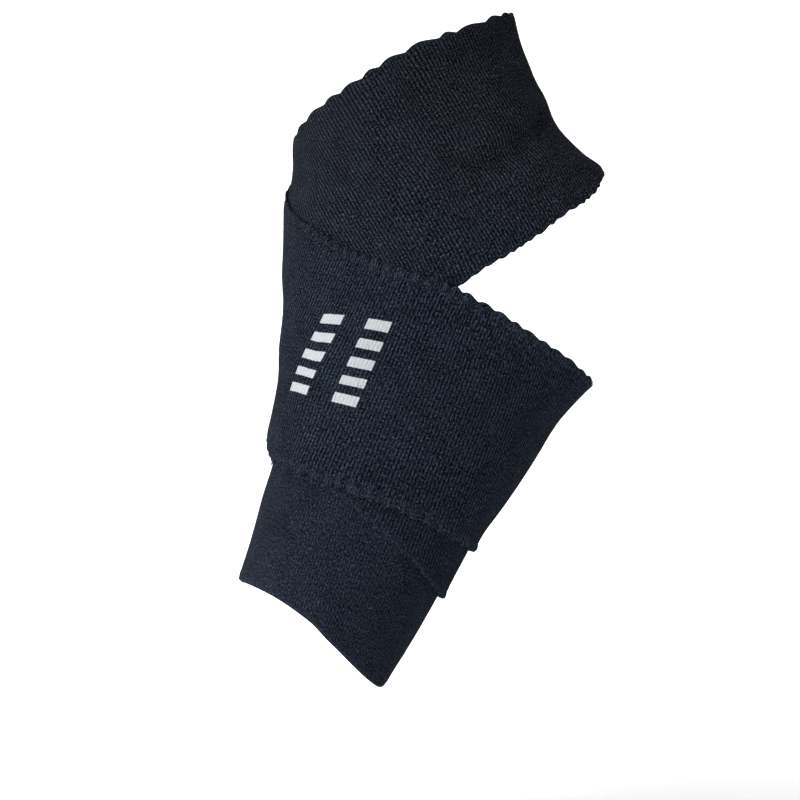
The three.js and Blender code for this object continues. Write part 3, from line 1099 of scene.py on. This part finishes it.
def tape_material():
    """The tape's back: black nylon in a fine twill, worn a little paler round its edge."""
    material, tree, shader = new_material("hook tape", 0.75, 0.08)
    uv = tree.node("ShaderNodeUVMap", uv_map="tape").outputs["UV"]
    u, v, _ = tree.parts(uv)
    spot = tree.object_place()
    ridge = abs(tree.math("SINE", (u + v) / TWILL_PITCH * math.pi))
    yarn = tree.math("SINE", (u - v) / (TWILL_PITCH * 0.55) * (2 * math.pi)) * 0.5
    weave = ridge * 0.55 + yarn * 0.25 + tree.noise(spot, 2600.0) * 0.30
    past_edge = tree.math("MAXIMUM", abs(u) - TAB_LENGTH / 2, abs(v) - TAB_BREADTH / 2)
    worn = tree.ramp(past_edge, -1.3 * MM, -0.2 * MM, 0.0, 0.35)
    light = tree.clamp(weave + (worn + tree.noise(spot, 120.0, 2.0) * 0.10), 0.0, 1.5)
    tree.feed(shader.inputs["Base Color"], tree.mix(light, DARK_TAPE, PALE_TAPE))
    tree.feed(shader.inputs["Roughness"], tree.ramp(weave, 0.0, 1.0, 0.75, 0.55))
    add_bump(tree, shader, weave, 0.10 * MM)
    return material


def build_cloth(cloth, material, rib_height):
    obj = new_object(cloth.name, cloth_mesh(cloth))
    pitch = cloth.length / cloth.ribs
    return run_tree(obj, rib_tree(material), {"Rib Pitch": pitch, "Rib Height": rib_height, "Seed": 5})


def laid_stitches(name, tree, start, end, facing, radius):
    """Stitches of thread from each start point to its end point."""
    guide = bpy.data.meshes.new(name)
    guide.from_pydata(start.tolist(), [], [])
    add_attribute(guide, "facing", facing)
    add_attribute(guide, "across_hem", unit(end - start))
    add_attribute(guide, "size", np.linalg.norm(end - start, axis=-1) / HEM_WIDTH)
    return run_tree(new_object(name, guide), tree, {
        "Stitch Length": HEM_WIDTH, "Stitch Rise": STITCH_RISE, "Thread Radius": radius,
    })


def hem_stitches(name, cloth, tree, seed):
    """Overlock stitches over both edges of a cloth, each laid from the seam line out to the rim."""
    rng = np.random.default_rng(seed)
    parts = []
    for side in (0, 1):
        ruler = cloth.edge_ruler(side)
        count = int(ruler[-1] / STITCH_SPACING)
        stops = (np.arange(count) + 0.5) / count * ruler[-1]
        stops += rng.uniform(-0.3, 0.3, count) * STITCH_SPACING
        wound = np.interp(stops, ruler, cloth.turns)
        low, high = cloth.edges_at(wound)
        breadth = (high - low) * form_frame(wound, (low, high)[side])[2]
        reach = np.minimum(cloth.hem(side, WIDTH, wound) * 0.9, HEM_WIDTH) * rng.uniform(0.75, 1.05, count)
        lean = rng.uniform(-0.35, 0.35, count)
        end_share = np.abs(side - 0.35 * MM / breadth)
        start = cloth.point(wound, np.abs(side - reach / breadth), True)[0]
        end = cloth.point(wound + lean, end_share, True)[0]
        facing = form_frame(wound, low + (high - low) * end_share)[0]
        parts.append((start, end, facing))
    start, end, facing = (np.concatenate(group) for group in zip(*parts))
    return laid_stitches(name, tree, start, end, facing, THREAD_RADIUS)


def loose_fibres(name, cloth_object, tree, seed):
    return run_tree(new_object(name, cloth_object.data.copy()), tree, {
        "Fibres Per Square Metre": FIBRES_PER_SQUARE_METRE, "Fibre Length": FIBRE_LENGTH,
        "Fibre Radius": FIBRE_RADIUS, "Seed": seed,
    })


def tab_surface(flat_u, flat_v, height):
    """A point at a height over the strap's end, from flat distances from the tab's middle."""
    _, per_degree, per_along = form_frame(np.array(TAB_TURN), np.array(TAB_ALONG))
    wound = TAB_TURN + flat_u / per_degree
    along = TAB_ALONG + flat_v / per_along
    return lifted(wound, along, layer_height(wound + FULL_TURN, along) + height)


def corner_pull(side, length):
    """How far one side's edge is drawn in by the round corners of the other."""
    inset = np.clip((np.abs(side) - 0.5) * length + TAB_CORNER, 0, TAB_CORNER)
    return TAB_CORNER - np.sqrt(np.clip(TAB_CORNER ** 2 - inset ** 2, 0, None))


def build_tab(material):
    """The closure: a thin round-cornered tape that bridges the strap's end, hooks underneath."""
    u = np.linspace(-0.5, 0.5, TAB_COLUMNS + 1)[:, None]
    v = np.linspace(-0.5, 0.5, TAB_ROWS + 1)[None, :]
    flat_u = u * TAB_LENGTH - np.sign(u) * corner_pull(v, TAB_BREADTH) * (np.abs(u) * 2) ** 6
    flat_v = v * TAB_BREADTH - np.sign(v) * corner_pull(u, TAB_LENGTH) * (np.abs(v) * 2) ** 6
    edge = np.minimum((0.5 - np.abs(u)) * TAB_LENGTH, (0.5 - np.abs(v)) * TAB_BREADTH)
    round_over = rounded(edge, TAB_EDGE_ROUNDING)
    seam = bell(edge - TAB_SEAM_INSET, TAB_SEAM_WIDTH) * TAB_SEAM_DEPTH
    twill = np.abs(np.sin(math.pi * (flat_u + flat_v) / TWILL_PITCH)) * TWILL_HEIGHT
    top = tab_surface(flat_u, flat_v, TAB_WALL * (0.5 + 0.5 * round_over) - seam + twill * round_over)
    bottom = tab_surface(flat_u, flat_v, TAB_WALL * (0.5 - 0.5 * round_over))
    return slab_object("hook_tab", top, bottom, (flat_u, flat_v), material)


def slab_object(name, top, bottom, flat, material):
    """A closed slab between two grids of points, with its flat places in metres as the map "tape"."""
    size = top.shape[0] * top.shape[1]
    grid = np.arange(size).reshape(top.shape[:2])
    faces = []
    for left, right in zip(grid.tolist(), grid[1:].tolist()):
        for a, b, d, e in zip(left, left[1:], right[1:], right):
            faces.append((a, b, d, e))
            faces.append((a + size, e + size, d + size, b + size))
    ring = [*grid[:, 0], *grid[-1, 1:], *grid[::-1, -1][1:], *grid[0, ::-1][1:-1]]
    for here, after in zip(ring, ring[1:] + ring[:1]):
        faces.append((int(here), int(after), int(after + size), int(here + size)))
    mesh = plain_mesh(name, np.concatenate([top.reshape(-1, 3), bottom.reshape(-1, 3)]), faces)
    corners = corner_points(mesh) % size
    u, v = (part.ravel()[corners] for part in np.broadcast_arrays(*flat))
    write_uv(mesh, "tape", u, v)
    mesh.materials.append(material)
    return new_object(name, mesh)


def rounded_loop(half_u, half_v, radius, spacing):
    """Evenly spaced points round a rectangle with round corners."""
    points = []
    for quarter, (side_u, side_v) in enumerate(((1, 1), (-1, 1), (-1, -1), (1, -1))):
        angle = np.linspace(0, math.pi / 2, 9) + quarter * math.pi / 2
        points.append(np.stack([
            side_u * (half_u - radius) + radius * np.cos(angle),
            side_v * (half_v - radius) + radius * np.sin(angle),
        ], -1))
    loop = np.concatenate(points + [points[0][:1]])
    ruler = lengths(loop)
    stops = np.linspace(0, ruler[-1], round(ruler[-1] / spacing), endpoint=False)
    return np.stack([np.interp(stops, ruler, loop[:, axis]) for axis in (0, 1)], -1)


def tab_stitches(tree):
    """One row of stitches round the tab, in the groove that they pull down."""
    half_u, half_v = TAB_LENGTH / 2 - TAB_SEAM_INSET, TAB_BREADTH / 2 - TAB_SEAM_INSET
    spots = rounded_loop(half_u, half_v, TAB_SEAM_CORNER, TAB_STITCH_SPACING)
    ends = spots + (np.roll(spots, -1, axis=0) - spots) * TAB_STITCH_SHARE
    height = TAB_WALL - TAB_SEAM_DEPTH + TAB_STITCH_HEIGHT
    start, end = (tab_surface(place[:, 0], place[:, 1], height) for place in (spots, ends))
    facing, _, _ = form_frame(np.full(len(spots), float(TAB_TURN)), np.full(len(spots), TAB_ALONG))
    return laid_stitches("hook_tab_stitches", tree, start, end, facing, TAB_THREAD_RADIUS)


def add_floor():
    """A pale floor that sweeps up behind, below the brace."""
    floor_z = cad_box[0][2] - FLOOR_DROP
    bend_start = WALL_DISTANCE - WALL_RADIUS
    sweep = [(-FLOOR_REACH, 0.0), (bend_start, 0.0)]
    sweep += [
        (bend_start + WALL_RADIUS * math.sin(a), WALL_RADIUS * (1 - math.cos(a)))
        for a in np.linspace(0, math.pi / 2, 25)[1:]
    ]
    sweep.append((WALL_DISTANCE, WALL_TOP))
    points = np.array([(x, y, floor_z + z) for y, z in sweep for x in (-FLOOR_REACH, FLOOR_REACH)])
    faces = [(2 * i, 2 * i + 1, 2 * i + 3, 2 * i + 2) for i in range(len(sweep) - 1)]
    mesh = plain_mesh("floor", points, faces)
    material, _, shader = new_material("pale floor", 0.95, 0.5)
    shader.inputs["Base Color"].default_value = FLOOR_COLOR
    mesh.materials.append(material)
    new_object("floor", mesh)


def studio_world():
    """Soft white light all round, stronger from the left."""
    world = bpy.data.worlds.new("studio")
    world.use_nodes = True
    tree = Tree(world.node_tree)
    across = tree.parts(tree.node("ShaderNodeTexCoord").outputs["Generated"])[0]
    background = world.node_tree.nodes["Background"]
    tree.feed(background.inputs["Strength"], tree.ramp(across, -0.8, 0.8, 1.25, 0.12))
    background.inputs["Color"].default_value = (1, 1, 1, 1)
    return world


def area_light(name, place, aim, size, power):
    data = bpy.data.lights.new(name, "AREA")
    data.size = size
    data.energy = power
    light = new_object(name, data)
    light.location = place
    light.rotation_euler = (Vector(aim) - Vector(place)).to_track_quat("-Z", "Y").to_euler()


def add_stage():
    add_floor()
    bpy.context.scene.world = studio_world()
    bpy.context.scene.view_settings.view_transform = "Standard"
    area_light("key", (-1.2, -0.9, 0.7), (0, 0, -0.04), 1.1, 22)
    area_light("top", (-0.6, 0.2, 1.4), (0, 0, -0.04), 0.8, 3)
    area_light("backdrop", (0, 0.7, 1.0), (0.25, WALL_DISTANCE, 0.1), 1.0, 34)


def add_camera():
    data = bpy.data.cameras.new("camera")
    data.sensor_width = SENSOR_WIDTH
    data.lens = SENSOR_WIDTH * VIEW_DISTANCE / VIEW_WIDTH
    camera = new_object("camera", data)
    back = Vector((
        math.sin(VIEW_AZIMUTH) * math.cos(VIEW_ELEVATION),
        -math.cos(VIEW_AZIMUTH) * math.cos(VIEW_ELEVATION),
        math.sin(VIEW_ELEVATION),
    ))
    camera.location = VIEW_TARGET + back * VIEW_DISTANCE
    camera.rotation_euler = back.to_track_quat("Z", "Y").to_euler()
    bpy.context.scene.camera = camera


add_camera()

strap_cloth = Cloth(
    "strap_knit", STRAP_EDGES, False, strap_height, (STRAP_LOWER_HEM, STRAP_UPPER_HEM),
    STRAP_RIB_PITCH, STRAP_RIB_WAY, seed=11,
)
band_cloth = Cloth(
    "foot_band_knit", BAND_EDGES, True, band_fullness, (BAND_HEM, BAND_HEM),
    BAND_RIB_PITCH, None, seed=12,
)
prints = [
    (float(strap_cloth.distance(turn)), share * STRAP_BREADTH)
    for turn in MARK_TURNS for share in MARK_SHARES
]
strap_knit_material = knit_material("strap knit", strap_cloth, STRAP_CLARITY, prints)
band_knit_material = knit_material("foot band knit", band_cloth, BAND_CLARITY)
thread = thread_material()

strap = build_cloth(strap_cloth, strap_knit_material, STRAP_RIB_HEIGHT)
band = build_cloth(band_cloth, band_knit_material, BAND_RIB_HEIGHT)
tab = build_tab(tape_material())
stitches = stitch_tree(thread)
tab_seam = tab_stitches(stitches)
strap_stitches = hem_stitches("strap_hem_stitches", strap_cloth, stitches, 21)
band_stitches = hem_stitches("foot_band_hem_stitches", band_cloth, stitches, 22)
fibres = fibre_tree(fibre_material())
strap_fibres = loose_fibres("strap_fibres", strap, fibres, 31)
band_fibres = loose_fibres("foot_band_fibres", band, fibres, 32)

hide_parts("strap")
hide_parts("foot_band")
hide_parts("closure_tab")
for slot, pieces in (
    ("knit", (strap, strap_stitches, strap_fibres)),
    ("foot_knit", (band, band_stitches, band_fibres)),
    ("hook_tape", (tab, tab_seam)),
):
    for piece in pieces:
        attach(piece, "root")
add_stage()
